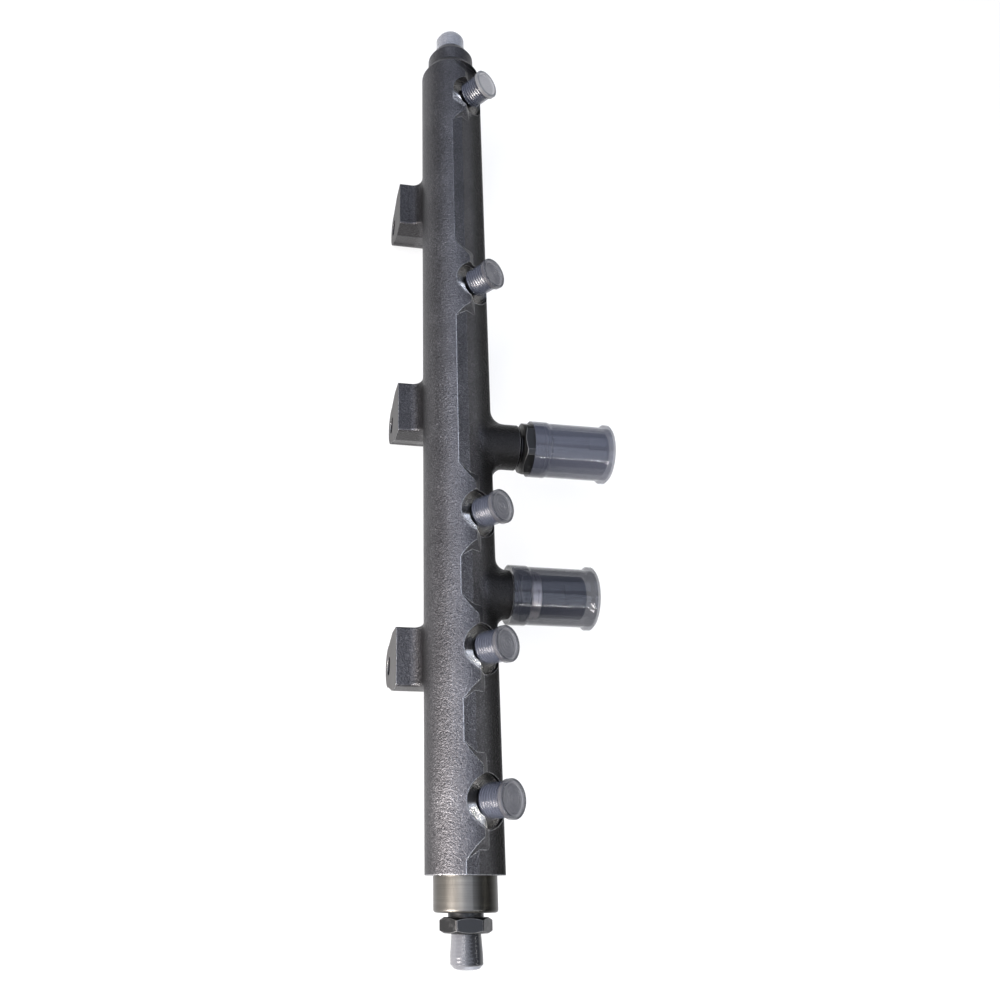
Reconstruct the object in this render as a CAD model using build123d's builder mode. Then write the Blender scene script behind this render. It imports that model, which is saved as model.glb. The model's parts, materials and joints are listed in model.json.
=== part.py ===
from build123d import *
from math import acos, cos, degrees, hypot, radians, sin, sqrt, tan
import os

os.makedirs("parts", exist_ok=True)

# ---------------------------------------------------------------- rail, mm
# Origin: centre of the middle lug's bolt hole on the milled faces (plane X = 0).
# The rail axis runs along Y, the two devices stand out along +X.
AXIS_X = 31.0                # milled lug faces to rail axis
AXIS_Z = 35.2                # bolt hole line to rail axis
FORGING_R = 18.5
FORGING_TOP = 233.5          # ends of the forged cylinder along Y
FORGING_BOTTOM = -241.2
PITCH = 140.0                # outlet pitch, and lug pitch
TOP_PORT_Y = 1.5 * PITCH
INLET_Y = -1.0 * PITCH
OUTLET_YS = [TOP_PORT_Y - n * PITCH for n in range(4)]
PORT_YS = OUTLET_YS + [INLET_Y]
PORT_ANGLE = 55.0            # from +X toward +Z, about the rail axis
LUG_YS = [-PITCH, 0.0, PITCH]

THREAD_PITCH = 1.5
NIPPLE_M = 14.0
DEVICE_M = 18.0
OUTLET_M = 12.0

# flank above the devices: two flat facets between pads that keep the full round
RIDGE = (-3.4, 18.2)
FACET_AT = 15.15             # wide facet, square to the nipples, from the rail axis
BEND_X = 3.0                 # where the narrow facet meets it
BEND_ROUND = 1.0
SHOULDER_ROUND = 4.0         # from the wide facet back into the round
PAD_CROWN = (5.2, 14.8)      # place and half length of a pad's straight wall at the crown
PAD_FOOT = (8.5, 21.0)       # the same, PAD_DEEP below the crown
PAD_DEEP = 6.0
PAD_SLANT = 1.18             # run of the slanted walls along Y per mm toward the ridge
PAD_ROUND = 3.5

# side nipples, distances from the rail axis
SPOT_FACE = 13.0
SPOT_R = 12.5
NIPPLE_NECK_R = 5.7
NIPPLE_NECK_END = 16.0
NIPPLE_TIP = 28.6
NIPPLE_CHAMFER = 0.8
CONE_R = 4.4                 # mouth of the sealing cone
CONE_HALF = 30.0
CROSS_DRILL_R = 1.25
BORE_R = 5.0
BORE_END = 240.0

# top end, positions along Y
TOP_CHAMFER_END = 240.0
TOP_CYL_R = 14.35
TOP_CYL_END = 249.0
TOP_CONE_R = 10.8
TOP_CONE_END = 255.0
TOP_NECK_END = 256.6
TOP_TIP = 268.2

# bottom end
COLLAR_R = 14.6
COLLAR_END = -256.5
COLLAR_ROUND = 1.3
VALVE_BORE_DEPTH = 22.0

# lugs
LUG_THICK = 22.0
LUG_HALF = 15.0
LUG_TOP = 25.0               # crown of the lug over its bolt hole
LUG_FLARE = 12.2             # where the sides start to taper, over the hole
LUG_TIP_R = 11.0
LUG_ROUND = 1.2
LUG_ROOT = 4.0               # how far short of the rail axis the gusset ends
LUG_FILLET = 6.0             # from the lug into the round
LUG_HOLE_R = 5.1
LUG_SPOT_R = 9.5
LUG_SPOT_DEPTH = 0.8

# bosses for the two devices, distances from the rail axis
SENSOR_Y = -25.6
SENSOR_BOSS_R = 12.4
SENSOR_BOSS_END = 32.8
SENSOR_BOSS_FILLET = 8.0
REGULATOR_Y = -108.8
REGULATOR_BOSS_R = 12.5
REGULATOR_BOSS_END = 25.8
REGULATOR_BOSS_FILLET = 6.0
BOSS_CHAMFER = 0.8
DEVICE_BORE_DEPTH = 16.0
DEVICE_DRILL_R = 1.5

THREAD_GAP = 0.05            # radial play in the threads of the devices and the valve
SEAL_THICK = 1.3
SEAL_PLAY = 0.3

# push-on caps
CAP_PLAY = 0.05
CAP_WALL = 0.85
CAP_OPEN = 16.05
CAP_FLANGE_R = 8.87
CAP_FLANGE_LONG = 2.5
CAP_END_THICK = 1.8
CAP_DIMPLE = 0.4
END_CAP_R = 8.95
END_CAP_WALL = 1.2
END_CAP_THICK = 1.5
VALVE_CAP_START = 0.3        # gap to the hexagon
VALVE_CAP_WALL = 0.65
VALVE_CAP_BULGE = 0.65       # how far the tube widens toward the closed end
VALVE_CAP_BULGE_LONG = 3.4
VALVE_CAP_SHOULDER = 1.6     # rounded edge of the closed end
VALVE_CAP_THICK = 1.4
LONG_CAP_R = 14.9
LONG_CAP_BELL_R = 15.35
LONG_CAP_WALL = 0.65
LONG_CAP_BELL = 8.7
LONG_CAP_PLAY = 1.2          # between the sensor's plug and the closed end
SENSOR_CAP_LAP = 7.0         # how far the cap reaches over the sensor's hexagon
REGULATOR_CAP_LAP = 1.2      # the same over the regulator's boss
LONG_CAP_FLANGE_R = 16.3
LONG_CAP_FLANGE_LONG = 5.2
LONG_CAP_END_THICK = 1.2

# pressure-limiting valve, distances outward from the collar face
VALVE_NECK_R = 8.0
VALVE_NECK_END = 1.8
VALVE_HEX_END = 8.3
VALVE_HEX_FLATS = 21.0
VALVE_HEX_CORNER_R = 11.95
VALVE_HEX_TURN = 3.0         # degrees a corner stands past +X
VALVE_NIPPLE_NECK_R = 4.9
VALVE_NIPPLE_NECK_END = 9.6
VALVE_TIP = 21.4
VALVE_CAVITY_R = 4.6
VALVE_CAVITY_END = 6.0
VALVE_OUTLET_R = 2.0
SEAT_THROAT_R = 1.0
SEAT_CONE = 1.6
SEAT_LAP = 0.05              # what a closed cone or ball keeps off its seat
SEAT_LONG = 5.5
POPPET_GUIDE_LONG = 5.0
POPPET_PLAY = 0.05
POPPET_FLAT = 3.6            # three flats on the guide let the fuel past
POPPET_STEM_R = 2.3
POPPET_STROKE = 1.2
SPRING_WIRE_R = 0.6
SPRING_PLAY = 0.3
SPRING_TURNS = 6
SHIM_THICK = 0.8
STOP_RING_THICK = 2.0

# pressure sensor, distances outward from its boss face
NECK_R = 9.0
SENSOR_HEX_START = 1.8
SENSOR_HEX_END = 13.9
SENSOR_HEX_FLATS = 27.0
SENSOR_HEX_CORNER_R = 14.75
SENSOR_RIM_R = 13.0
SENSOR_RIM_END = 16.3
SENSOR_PORT_R = 2.0
SENSOR_WELL_R = 6.5
SENSOR_WELL_FLOOR = -9.0
SENSOR_STEP = 6.0
SENSOR_ROOM_R = 10.4
CELL_HIGH = 9.0
CELL_FLANGE = 2.0
CELL_SKIN = 0.9
BOARD_R = 9.0
BOARD_THICK = 1.2
SENSOR_PLUG_R = 11.6
SENSOR_PLUG_END = 49.5
SENSOR_PIN_TURNS = (30, 150, 270)

# pressure regulating device, distances outward from its boss face
REG_HEX_START = 2.8
REG_HEX_END = 8.8
REG_HEX_FLATS = 24.0
REG_HEX_CORNER_R = 13.8
REG_HOUSING_END = 14.0
REG_HOUSING_R = 12.3
REG_SEAT_R = 4.0
REG_SEAT_LONG = 4.5
REG_SEAT_HOLE_R = 0.6
REG_SEAT_CONE = 1.2
REG_BALL_R = 1.5
REG_STEM_R = 1.6
REG_STEM_PLAY = 0.03
REG_ARMATURE_R = 4.4
REG_ARMATURE_GAP = 0.3
REG_ARMATURE_START = 4.5
REG_ARMATURE_END = 11.0
REG_STROKE = 0.4
REG_POCKET = 4.2             # pocket of the return spring
REG_POCKET_R = 2.8
REG_WIRE = 0.3
REG_BOBBIN_START = 3.6
REG_BOBBIN_R = 9.2
REG_BOBBIN_WALL = 0.8
REG_BOBBIN_FLANGE = 1.0
REG_WIRE_R = 8.6
REG_PLUG_R = 11.0
REG_PLUG_END = 37.8

# plugs: socket, terminals, O-ring
SOCKET_WALL = 1.6
SOCKET_DEPTH = 21.0
PIN_R = 0.7
PIN_OUT = 11.0               # length of the terminals inside the socket
PIN_SPREAD = 4.2
LATCH = (1.4, 6.0, 9.0)      # height, width, length of the latch ramp
O_RING_R = 0.9

UP, DOWN, OUT = (0, 1, 0), (0, -1, 0), (1, 0, 0)
PORT = (cos(radians(PORT_ANGLE)), 0, sin(radians(PORT_ANGLE)))


def thread_r(nominal):
    """Pitch radius of a metric fine thread: threads are drawn as plain cylinders."""
    return nominal / 2 - 0.3248 * THREAD_PITCH


def on_axis(y):
    return (AXIS_X, y, AXIS_Z)


def lengthwise(origin, direction):
    """Plane through an axis: local x runs along it, local y is the radius."""
    normal = (1, 0, 0) if direction[1] else (0, 1, 0)
    return Plane(origin=origin, x_dir=direction, z_dir=normal)


def crosswise(origin, direction, distance):
    """Plane square to an axis at a distance along it."""
    place = Vector(*origin) + Vector(*direction) * distance
    return Plane(origin=place, x_dir=(1, 0, 0) if direction[1] else UP, z_dir=direction)


def turned(outline, origin, direction, mode=Mode.ADD):
    """Revolve a closed outline of (distance, radius) points about an axis."""
    with BuildSketch(lengthwise(origin, direction), mode=Mode.PRIVATE) as face:
        with BuildLine():
            Polyline(*outline, close=True)
        make_face()
    revolve(face.sketch, axis=Axis(origin, direction), mode=mode)


def drilled(origin, direction, start, end, radius):
    turned([(start, 0), (start, radius), (end, radius), (end, 0)], origin, direction, Mode.SUBTRACT)


def hexagon(origin, direction, start, end, flats, corner_r, turn=0.0):
    """Hexagon with its corners turned down and both faces chamfered; opens its block."""
    with BuildSketch(crosswise(origin, direction, start), mode=Mode.PRIVATE) as face:
        RegularPolygon(flats / 2, 6, major_radius=False, rotation=turn)
    extrude(face.sketch, amount=end - start)
    face_r = 0.475 * flats
    slope = (corner_r - face_r) * tan(radians(30))
    turned([(start, 0), (start, face_r), (start + slope, corner_r), (end - slope, corner_r),
            (end, face_r), (end, 0)], origin, direction, Mode.INTERSECT)


def nipple(origin, direction, root, neck_end, tip, nominal, drill_r, drill_start):
    """Threaded nipple with undercut, sealing cone and drilling."""
    r = thread_r(nominal)
    turned([(root, 0), (root, NIPPLE_NECK_R), (neck_end - 0.8, NIPPLE_NECK_R), (neck_end, r),
            (tip - NIPPLE_CHAMFER, r), (tip, r - NIPPLE_CHAMFER), (tip, 0)], origin, direction)
    cone_depth = (CONE_R - drill_r) / tan(radians(CONE_HALF))
    turned([(drill_start, 0), (drill_start, drill_r), (tip - cone_depth, drill_r),
            (tip, CONE_R), (tip + 1, CONE_R), (tip + 1, 0)], origin, direction, Mode.SUBTRACT)


def ring(origin, direction, start, end, inner_r, outer_r):
    turned([(start, inner_r), (start, outer_r), (end, outer_r), (end, inner_r)], origin, direction)


def device_bore(y, boss_end):
    """Threaded bore of a boss with its drilling into the long bore."""
    floor = boss_end - DEVICE_BORE_DEPTH
    r = thread_r(DEVICE_M) + THREAD_GAP
    turned([(0, 0), (0, DEVICE_DRILL_R), (floor, DEVICE_DRILL_R), (floor, r), (boss_end - 1, r),
            (boss_end, r + 1), (boss_end, 0)], on_axis(y), OUT, Mode.SUBTRACT)


def export(block, name):
    block.part.label = name
    export_step(block.part, f"parts/{name}.step")


# ---------------------------------------------------------------- rail body
def along_rail(y):
    """Cross-section plane of the rail: local x is X, local y is Z, normal -Y."""
    return Plane(origin=on_axis(y), x_dir=(1, 0, 0), z_dir=DOWN)


def on_surface(edges, distance):
    """Edges that keep to a surface, given how far a point lies off it."""
    return [e for e in edges if all(abs(distance(e @ t)) < 0.02 for t in (0, 0.5, 1))]


with BuildPart() as pad:
    for drop in (-1.0, 2.2 * PAD_DEEP):
        wall = PAD_CROWN[0] + (PAD_FOOT[0] - PAD_CROWN[0]) * drop / PAD_DEEP
        half = PAD_CROWN[1] + (PAD_FOOT[1] - PAD_CROWN[1]) * drop / PAD_DEEP
        back = RIDGE[0] - 6
        reach = half + PAD_SLANT * (wall - back)
        level = AXIS_Z + FORGING_R - drop
        with BuildSketch(Plane(origin=(AXIS_X, 0, level), x_dir=(1, 0, 0), z_dir=(0, 0, 1))):
            Polygon((wall, -half), (wall, half), (back, reach), (back, -reach), align=None)
    loft(ruled=True)
    fillet(pad.edges().filter_by(lambda e: abs(e.tangent_at(0.5).Z) > 0.3).sort_by(Axis.X)[-2:], PAD_ROUND)

with BuildPart() as flank:
    bend = (BEND_X, (FACET_AT - BEND_X * PORT[0]) / PORT[2])
    turn = degrees(acos((FACET_AT - SHOULDER_ROUND) / (FORGING_R - SHOULDER_ROUND)))
    low = radians(PORT_ANGLE - turn)
    centre = ((FORGING_R - SHOULDER_ROUND) * cos(low), (FORGING_R - SHOULDER_ROUND) * sin(low))
    beyond = FORGING_R + 2
    with BuildSketch(along_rail(FORGING_TOP + 1)) as section:
        with BuildLine():
            shoulder = CenterArc(centre, SHOULDER_ROUND, PORT_ANGLE, -turn)
            Polyline(shoulder @ 1, (beyond * cos(low), beyond * sin(low)), (beyond, beyond),
                     (RIDGE[0], beyond), RIDGE, bend, shoulder @ 0)
        make_face()
    extrude(amount=FORGING_TOP - FORGING_BOTTOM + 2)
    fillet(flank.edges().filter_by(Axis.Y).sort_by_distance((AXIS_X + bend[0], 0, AXIS_Z + bend[1]))[0],
           BEND_ROUND)
    for y in PORT_YS:
        add(pad.part.moved(Location((0, y, 0))), mode=Mode.SUBTRACT)

with BuildPart() as lug:
    with BuildSketch(Plane.XZ):
        Polygon((0, LUG_TOP), (LUG_THICK, LUG_TOP), (AXIS_X - LUG_ROOT, AXIS_Z - FORGING_R + 2),
                (LUG_THICK, LUG_FLARE), (LUG_THICK, -LUG_TIP_R), (0, -LUG_TIP_R), align=None)
    extrude(amount=LUG_HALF + 1, both=True)
    with BuildSketch(Plane.YZ) as shape:
        Polygon((-LUG_HALF, LUG_TOP), (LUG_HALF, LUG_TOP), (LUG_HALF, LUG_FLARE), (LUG_TIP_R, 0),
                (-LUG_TIP_R, 0), (-LUG_HALF, LUG_FLARE), align=None)
        fillet(shape.vertices().group_by(Axis.Y)[-1], LUG_ROUND)
        Circle(LUG_TIP_R)
    extrude(amount=AXIS_X, mode=Mode.INTERSECT)

with BuildPart() as rail_body:
    turned([(FORGING_BOTTOM, 0), (FORGING_BOTTOM, FORGING_R), (FORGING_TOP, FORGING_R),
            (TOP_CHAMFER_END, TOP_CYL_R), (TOP_CYL_END, TOP_CYL_R), (TOP_CONE_END, TOP_CONE_R),
            (TOP_CONE_END, 0)], on_axis(0), UP)
    add(flank.part, mode=Mode.SUBTRACT)
    for y, r, end, root in [(SENSOR_Y, SENSOR_BOSS_R, SENSOR_BOSS_END, SENSOR_BOSS_FILLET),
                            (REGULATOR_Y, REGULATOR_BOSS_R, REGULATOR_BOSS_END, REGULATOR_BOSS_FILLET)]:
        turned([(0, 0), (0, r), (end - BOSS_CHAMFER, r), (end, r - BOSS_CHAMFER), (end, 0)],
               on_axis(y), OUT)
        side = on_surface(rail_body.edges(), lambda p: hypot(p.Y - y, p.Z - AXIS_Z) - r)
        fillet([e for e in side if e.geom_type != GeomType.LINE
                and e.center().X < AXIS_X + end - 2 * BOSS_CHAMFER], root)
    for y in LUG_YS:
        add(lug.part.moved(Location((0, y, 0))))
        under = on_surface(rail_body.edges(), lambda p: hypot(p.X - AXIS_X, p.Z - AXIS_Z) - FORGING_R)
        fillet([e for e in under if abs(e.center().Y - y) < LUG_HALF + 0.1 and e.center().Z < AXIS_Z],
               LUG_FILLET)
    turned([(FORGING_BOTTOM, 0), (FORGING_BOTTOM, COLLAR_R), (COLLAR_END, COLLAR_R), (COLLAR_END, 0)],
           on_axis(0), UP)
    fillet(rail_body.faces().sort_by(Axis.Y)[0].edges(), COLLAR_ROUND)
    for y in PORT_YS:
        with BuildSketch(crosswise(on_axis(y), PORT, SPOT_FACE)):
            Circle(SPOT_R)
        extrude(amount=SPOT_R, mode=Mode.SUBTRACT)
    for y in PORT_YS:
        nipple(on_axis(y), PORT, SPOT_FACE - 2, NIPPLE_NECK_END, NIPPLE_TIP, NIPPLE_M, CROSS_DRILL_R, 0)
    nipple(on_axis(0), UP, TOP_CONE_END - 2, TOP_NECK_END, TOP_TIP, NIPPLE_M, CROSS_DRILL_R, BORE_END)
    drilled(on_axis(0), UP, COLLAR_END, BORE_END, BORE_R)
    drilled(on_axis(0), UP, COLLAR_END, COLLAR_END + VALVE_BORE_DEPTH, thread_r(DEVICE_M) + THREAD_GAP)
    device_bore(SENSOR_Y, SENSOR_BOSS_END)
    device_bore(REGULATOR_Y, REGULATOR_BOSS_END)
    for y in LUG_YS:
        drilled((0, y, 0), OUT, 0, LUG_THICK, LUG_HOLE_R)
        drilled((0, y, 0), OUT, LUG_THICK - LUG_SPOT_DEPTH, AXIS_X, LUG_SPOT_R)
export(rail_body, "rail_body")


# ---------------------------------------------------------------- push-on caps
def nipple_cap(origin, direction, open_end, tip):
    """Cap of a side nipple: thin tube, moulded flange, dimpled end seated on the nipple."""
    inner = NIPPLE_M / 2 + CAP_PLAY
    end = tip + CAP_END_THICK
    dimple = CAP_FLANGE_R - 2.4
    turned([(open_end, inner), (open_end, inner + CAP_WALL), (end - CAP_FLANGE_LONG, inner + CAP_WALL),
            (end - CAP_FLANGE_LONG, CAP_FLANGE_R), (end - 0.4, CAP_FLANGE_R), (end, CAP_FLANGE_R - 0.4),
            (end, dimple), (end - CAP_DIMPLE, dimple - 0.3), (end - CAP_DIMPLE, 0), (tip, 0),
            (tip, inner)], origin, direction)


for number, y in enumerate(OUTLET_YS, start=1):
    with BuildPart() as outlet_cap:
        nipple_cap(on_axis(y), PORT, CAP_OPEN, NIPPLE_TIP)
    export(outlet_cap, f"outlet_cap_{number}")

with BuildPart() as inlet_cap:
    nipple_cap(on_axis(INLET_Y), PORT, CAP_OPEN, NIPPLE_TIP)
export(inlet_cap, "inlet_cap")

with BuildPart() as end_cap:
    END_TOP = TOP_TIP + END_CAP_THICK
    turned([(TOP_NECK_END, END_CAP_R - END_CAP_WALL), (TOP_NECK_END, END_CAP_R), (END_TOP - 2.6, END_CAP_R),
            (END_TOP - 0.8, END_CAP_R - 1.0), (END_TOP, END_CAP_R - 3.0), (END_TOP, 0), (TOP_TIP, 0),
            (TOP_TIP, END_CAP_R - END_CAP_WALL - 0.8)], on_axis(0), UP)
export(end_cap, "end_cap")

with BuildPart() as valve_cap:
    inner = OUTLET_M / 2 + CAP_PLAY
    start, end = VALVE_HEX_END + VALVE_CAP_START, VALVE_TIP + VALVE_CAP_THICK
    round_start = end - VALVE_CAP_SHOULDER - 0.6
    bulge_r = inner + VALVE_CAP_WALL + VALVE_CAP_BULGE
    turned([(start, inner), (start, inner + VALVE_CAP_WALL), (round_start - VALVE_CAP_BULGE_LONG, bulge_r),
            (round_start, bulge_r), (end - 0.6, bulge_r - VALVE_CAP_SHOULDER),
            (end, bulge_r - 2 * VALVE_CAP_SHOULDER), (end, 0), (VALVE_TIP, 0), (VALVE_TIP, inner)],
           on_axis(COLLAR_END), DOWN)
export(valve_cap, "valve_cap")


LONG_CAP_LENGTH = max(SENSOR_PLUG_END - SENSOR_HEX_END + SENSOR_CAP_LAP,
                      REG_PLUG_END + REGULATOR_CAP_LAP) + LONG_CAP_PLAY + LONG_CAP_END_THICK


def long_cap(origin, open_end):
    """Cap over a plug: bell mouth, thin tube, thick rounded flange at the closed end."""
    bell = LONG_CAP_BELL
    step = LONG_CAP_BELL_R - LONG_CAP_R
    end = LONG_CAP_LENGTH
    flange = end - LONG_CAP_FLANGE_LONG
    inner_end = end - LONG_CAP_END_THICK
    outline = [(0, LONG_CAP_BELL_R - LONG_CAP_WALL + 0.1), (0, LONG_CAP_BELL_R), (bell, LONG_CAP_BELL_R),
               (bell + 3 * step, LONG_CAP_R), (flange, LONG_CAP_R), (flange + 1.6, LONG_CAP_FLANGE_R),
               (end - 1.4, LONG_CAP_FLANGE_R), (end - 0.4, LONG_CAP_FLANGE_R - 1.0),
               (end, LONG_CAP_FLANGE_R - 2.6), (end, 0), (inner_end, 0),
               (inner_end, LONG_CAP_R - LONG_CAP_WALL), (bell + 3 * step, LONG_CAP_R - LONG_CAP_WALL),
               (bell, LONG_CAP_BELL_R - LONG_CAP_WALL + 0.1)]
    turned([(open_end + d, r) for d, r in outline], origin, OUT)


with BuildPart() as sensor_cap:
    long_cap(on_axis(SENSOR_Y), SENSOR_BOSS_END + SENSOR_HEX_END - SENSOR_CAP_LAP)
export(sensor_cap, "sensor_cap")

with BuildPart() as regulator_cap:
    long_cap(on_axis(REGULATOR_Y), REGULATOR_BOSS_END - REGULATOR_CAP_LAP)
export(regulator_cap, "regulator_cap")


# ---------------------------------------------------------------- pressure-limiting valve
MOUTH = on_axis(COLLAR_END)
SEAL_START = -VALVE_BORE_DEPTH
VALVE_START = SEAL_START + SEAL_THICK
SEAT_END = VALVE_START + SEAT_LONG
SHIM_START = VALVE_CAVITY_END - STOP_RING_THICK - SHIM_THICK
GUIDE_START = SEAT_END + 0.8
GUIDE_END = GUIDE_START + POPPET_GUIDE_LONG

with BuildPart() as valve_body:
    hexagon(MOUTH, DOWN, VALVE_NECK_END, VALVE_HEX_END, VALVE_HEX_FLATS, VALVE_HEX_CORNER_R,
            VALVE_HEX_TURN)
    r = thread_r(DEVICE_M)
    tail_r = thread_r(OUTLET_M)
    turned([(VALVE_START, 0), (VALVE_START, r - 1), (VALVE_START + 1, r), (-1.6, r), (-1.2, VALVE_NECK_R),
            (VALVE_NECK_END + 1, VALVE_NECK_R), (VALVE_NECK_END + 1, 0)], MOUTH, DOWN)
    turned([(VALVE_HEX_END - 1, 0), (VALVE_HEX_END - 1, VALVE_NIPPLE_NECK_R),
            (VALVE_NIPPLE_NECK_END - 0.5, VALVE_NIPPLE_NECK_R), (VALVE_NIPPLE_NECK_END, tail_r),
            (VALVE_TIP - NIPPLE_CHAMFER, tail_r), (VALVE_TIP, tail_r - NIPPLE_CHAMFER), (VALVE_TIP, 0)],
           MOUTH, DOWN)
    drilled(MOUTH, DOWN, VALVE_START, VALVE_CAVITY_END, VALVE_CAVITY_R)
    drilled(MOUTH, DOWN, VALVE_CAVITY_END, VALVE_TIP, VALVE_OUTLET_R)
export(valve_body, "valve_body")

with BuildPart() as valve_seal:
    ring(MOUTH, DOWN, SEAL_START, VALVE_START, BORE_R, thread_r(DEVICE_M) - SEAL_PLAY)
export(valve_seal, "valve_seal")

with BuildPart() as valve_seat:
    turned([(VALVE_START, SEAT_THROAT_R + 1.2), (VALVE_START, VALVE_CAVITY_R), (SEAT_END, VALVE_CAVITY_R),
            (SEAT_END, SEAT_THROAT_R + SEAT_CONE), (SEAT_END - SEAT_CONE, SEAT_THROAT_R),
            (VALVE_START + 1.2, SEAT_THROAT_R)], MOUTH, DOWN)
export(valve_seat, "valve_seat")

with BuildPart() as valve_poppet:
    with BuildSketch(crosswise(MOUTH, DOWN, GUIDE_START)) as guide:
        Circle(VALVE_CAVITY_R - POPPET_PLAY)
        RegularPolygon(POPPET_FLAT, 3, major_radius=False, mode=Mode.INTERSECT)
    extrude(amount=POPPET_GUIDE_LONG)
    apex = SEAT_END - SEAT_CONE - SEAT_THROAT_R + sqrt(2) * SEAT_LAP
    turned([(apex + 0.6, 0), (apex + 0.6, 0.6), (GUIDE_START, GUIDE_START - apex),
            (GUIDE_START + 1, GUIDE_START - apex), (GUIDE_START + 1, POPPET_STEM_R),
            (SHIM_START - POPPET_STROKE, POPPET_STEM_R), (SHIM_START - POPPET_STROKE, 0)], MOUTH, DOWN)
export(valve_poppet, "valve_poppet")


def coil_spring(origin, direction, start, end, mean_r, wire_r, turns):
    """Cylindrical spring between two faces; the end coils touch them."""
    base = Vector(*origin) + Vector(*direction) * (start + wire_r)
    long = end - start - 2 * wire_r
    with BuildLine(mode=Mode.PRIVATE) as path:
        Helix(pitch=long / turns, height=long, radius=mean_r, center=base, direction=direction)
    with BuildSketch(Plane(origin=path.line @ 0, z_dir=path.line % 0), mode=Mode.PRIVATE) as wire:
        RegularPolygon(wire_r, 8)
    sweep(wire.sketch, path=path.line)


with BuildPart() as valve_spring:
    coil_spring(MOUTH, DOWN, GUIDE_END, SHIM_START, POPPET_STEM_R + SPRING_PLAY + SPRING_WIRE_R,
                SPRING_WIRE_R, SPRING_TURNS)
export(valve_spring, "valve_spring")

with BuildPart() as valve_shim:
    ring(MOUTH, DOWN, SHIM_START, SHIM_START + SHIM_THICK, POPPET_STEM_R - 0.5, VALVE_CAVITY_R - 0.2)
export(valve_shim, "valve_shim")

with BuildPart() as valve_stop_ring:
    ring(MOUTH, DOWN, SHIM_START + SHIM_THICK, VALVE_CAVITY_END, POPPET_STEM_R - 0.5, VALVE_CAVITY_R)
export(valve_stop_ring, "valve_stop_ring")


# ---------------------------------------------------------------- plugs of the two devices
def plug(origin, start, end, radius, skirt_r, skirt_start):
    """Round connector with an open socket, a latch ramp and a plain skirt held by the device."""
    floor = end - SOCKET_DEPTH
    turned([(skirt_start, 0), (skirt_start, skirt_r), (start, skirt_r), (start, radius),
            (end - 0.6, radius), (end, radius - 0.6), (end, 0)], origin, OUT)
    high, wide, long = LATCH
    with BuildSketch(crosswise(origin, OUT, end - 3), mode=Mode.PRIVATE) as latch:
        with Locations((0, radius + high / 2 - 0.5)):
            Rectangle(wide, high + 1)
    extrude(latch.sketch, amount=-long)
    drilled(origin, OUT, floor, end, radius - SOCKET_WALL)


def pins(origin, start, end, places, mode=Mode.ADD):
    """Round terminals, or with Mode.SUBTRACT the holes they pass through."""
    with BuildSketch(crosswise(origin, OUT, start), mode=Mode.PRIVATE) as ends:
        with Locations(*places):
            Circle(PIN_R)
    extrude(ends.sketch, amount=end - start, mode=mode)


# ---------------------------------------------------------------- pressure sensor
SENSOR = (AXIS_X + SENSOR_BOSS_END, SENSOR_Y, AXIS_Z)
SENSOR_FLOOR = -DEVICE_BORE_DEPTH
SPIGOT = SENSOR_FLOOR + SEAL_THICK
SENSOR_PINS = [(PIN_SPREAD * cos(radians(turn)), PIN_SPREAD * sin(radians(turn)))
               for turn in SENSOR_PIN_TURNS]
BOARD_START = SENSOR_STEP
SENSOR_RING_AT = SENSOR_HEX_END - 1.5

with BuildPart() as sensor_body:
    hexagon(SENSOR, OUT, SENSOR_HEX_START, SENSOR_HEX_END, SENSOR_HEX_FLATS, SENSOR_HEX_CORNER_R)
    r = thread_r(DEVICE_M)
    turned([(SPIGOT, 0), (SPIGOT, r - 1), (SPIGOT + 1, r), (-1.0, r), (-0.4, NECK_R - 1.5),
            (SENSOR_HEX_START + 1, NECK_R - 1.5), (SENSOR_HEX_START + 1, 0)], SENSOR, OUT)
    turned([(SENSOR_HEX_END - 1, 0), (SENSOR_HEX_END - 1, SENSOR_RIM_R),
            (SENSOR_RIM_END - 0.6, SENSOR_RIM_R), (SENSOR_RIM_END, SENSOR_RIM_R - 0.6),
            (SENSOR_RIM_END, 0)], SENSOR, OUT)
    drilled(SENSOR, OUT, SPIGOT, SENSOR_WELL_FLOOR, SENSOR_PORT_R)
    drilled(SENSOR, OUT, SENSOR_WELL_FLOOR, SENSOR_STEP, SENSOR_WELL_R)
    drilled(SENSOR, OUT, SENSOR_STEP, SENSOR_RIM_END, SENSOR_ROOM_R)
export(sensor_body, "sensor_body")

with BuildPart() as sensor_seal:
    ring(SENSOR, OUT, SENSOR_FLOOR, SPIGOT, DEVICE_DRILL_R + 1.5, thread_r(DEVICE_M) - SEAL_PLAY)
export(sensor_seal, "sensor_seal")

with BuildPart() as sensor_cell:
    top = SENSOR_WELL_FLOOR + CELL_HIGH
    step = SENSOR_WELL_FLOOR + CELL_FLANGE
    drum = SENSOR_WELL_R - 1.5
    turned([(SENSOR_WELL_FLOOR, SENSOR_PORT_R), (SENSOR_WELL_FLOOR, SENSOR_WELL_R), (step, SENSOR_WELL_R),
            (step, drum), (top, drum), (top, 0), (top - CELL_SKIN, 0), (top - CELL_SKIN, SENSOR_PORT_R)],
           SENSOR, OUT)
export(sensor_cell, "sensor_cell")

with BuildPart() as sensor_board:
    with BuildSketch(crosswise(SENSOR, OUT, BOARD_START)) as board:
        Circle(BOARD_R)
        Circle(2.2, mode=Mode.SUBTRACT)
    extrude(amount=BOARD_THICK)
export(sensor_board, "sensor_board")

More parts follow.
